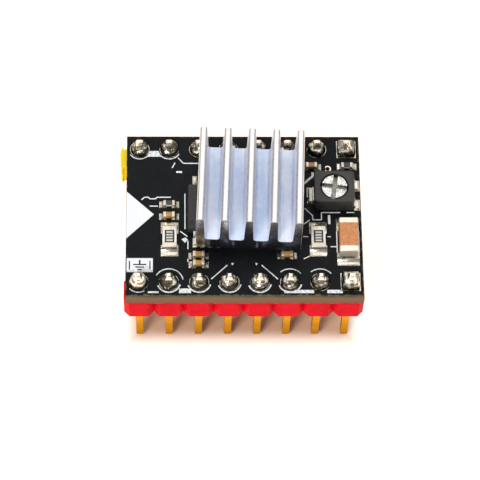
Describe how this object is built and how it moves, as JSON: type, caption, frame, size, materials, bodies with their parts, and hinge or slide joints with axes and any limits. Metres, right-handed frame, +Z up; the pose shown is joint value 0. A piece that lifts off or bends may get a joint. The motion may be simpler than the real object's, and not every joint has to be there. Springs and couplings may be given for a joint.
{
  "type": "stepper driver module",
  "caption": "Plug-in stepper motor driver board on two rows of square pins, with a driver chip under a finned heatsink and a current-setting trimmer.",
  "frame": {"origin": "plane of the pin tips, under the centre of the board", "axes": "+Z up through the board to the heatsink, +X along the pin rows to the end with the trimmer, +Y from the power row to the logic row"},
  "size_m": [0.0208, 0.0152, 0.0162],
  "materials": {
    "glass_epoxy": "cut edge, woven glass in epoxy",
    "tinned_copper": "satin",
    "copper": "satin",
    "solder_mask": "semi-gloss black",
    "legend_ink": "matte",
    "red_plastic": "semi-gloss",
    "yellow_plastic": "semi-gloss",
    "solder": "bright, slightly wavy",
    "mould_compound": "fine matte",
    "silicon": "polished",
    "thermal_tape": "matte",
    "clear_anodised_aluminium": "extruded, clear anodised",
    "trimmer_plastic": "matte, filled",
    "plated_steel": "satin",
    "spring_bronze": "satin",
    "resistive_ink": "matte",
    "orange_ceramic": "fired ceramic",
    "brown_ceramic": "fired ceramic",
    "tin_plating": "matte tin",
    "alumina": "fired ceramic",
    "black_glaze": "glazed",
    "gold_plated_pin": "bright gold plating"
  },
  "bodies": {
    "board": {"laminate": "glass_epoxy", "copper_top": "tinned_copper", "copper_bottom": "tinned_copper", "hole_barrels": "copper", "mask_top": "solder_mask", "mask_bottom": "solder_mask", "legend_top": "legend_ink", "power_header": "red_plastic", "logic_header": "yellow_plastic", "power_joints": "solder", "logic_joints": "solder", "chip_joints": "solder", "driver_case": "mould_compound", "driver_leads": "tinned_copper", "driver_pad": "tinned_copper", "driver_die": "silicon", "thermal_tape": "thermal_tape", "heatsink": "clear_anodised_aluminium", "trimmer_case": "trimmer_plastic", "trimmer_track": "resistive_ink", "trimmer_end_tabs": "tinned_copper", "trimmer_wiper_tab": "tinned_copper", "bulk_cap_body": "orange_ceramic", "bulk_cap_ends": "tin_plating", "sense_resistor_bodies": "alumina", "sense_resistor_coats": "black_glaze", "sense_resistor_ends": "tin_plating", "pump_cap_body": "brown_ceramic", "pump_cap_ends": "tin_plating", "boost_cap_body": "brown_ceramic", "boost_cap_ends": "tin_plating", "logic_cap_body": "brown_ceramic", "logic_cap_ends": "tin_plating", "reference_cap_body": "brown_ceramic", "reference_cap_ends": "tin_plating", "supply_cap_body": "brown_ceramic", "supply_cap_ends": "tin_plating", "small_resistor_bodies": "alumina", "small_resistor_coats": "black_glaze", "small_resistor_ends": "tin_plating", "power_pin_1": "gold_plated_pin", "power_pin_2": "gold_plated_pin", "power_pin_3": "gold_plated_pin", "power_pin_4": "gold_plated_pin", "power_pin_5": "gold_plated_pin", "power_pin_6": "gold_plated_pin", "power_pin_7": "gold_plated_pin", "power_pin_8": "gold_plated_pin", "logic_pin_1": "gold_plated_pin", "logic_pin_2": "gold_plated_pin", "logic_pin_3": "gold_plated_pin", "logic_pin_4": "gold_plated_pin", "logic_pin_5": "gold_plated_pin", "logic_pin_6": "gold_plated_pin", "logic_pin_7": "gold_plated_pin", "logic_pin_8": "gold_plated_pin"},
    "trimmer_dial": {"trimmer_rotor": "plated_steel", "trimmer_wiper": "spring_bronze"}
  },
  "joints": [
    {"name": "trimmer_turn", "type": "hinge", "parent": "board", "child": "trimmer_dial", "pos_m": [0.00768, 0.00186, 0.0115], "axis": [0, 0, 1], "range_deg": [-120, 120]}
  ]
}
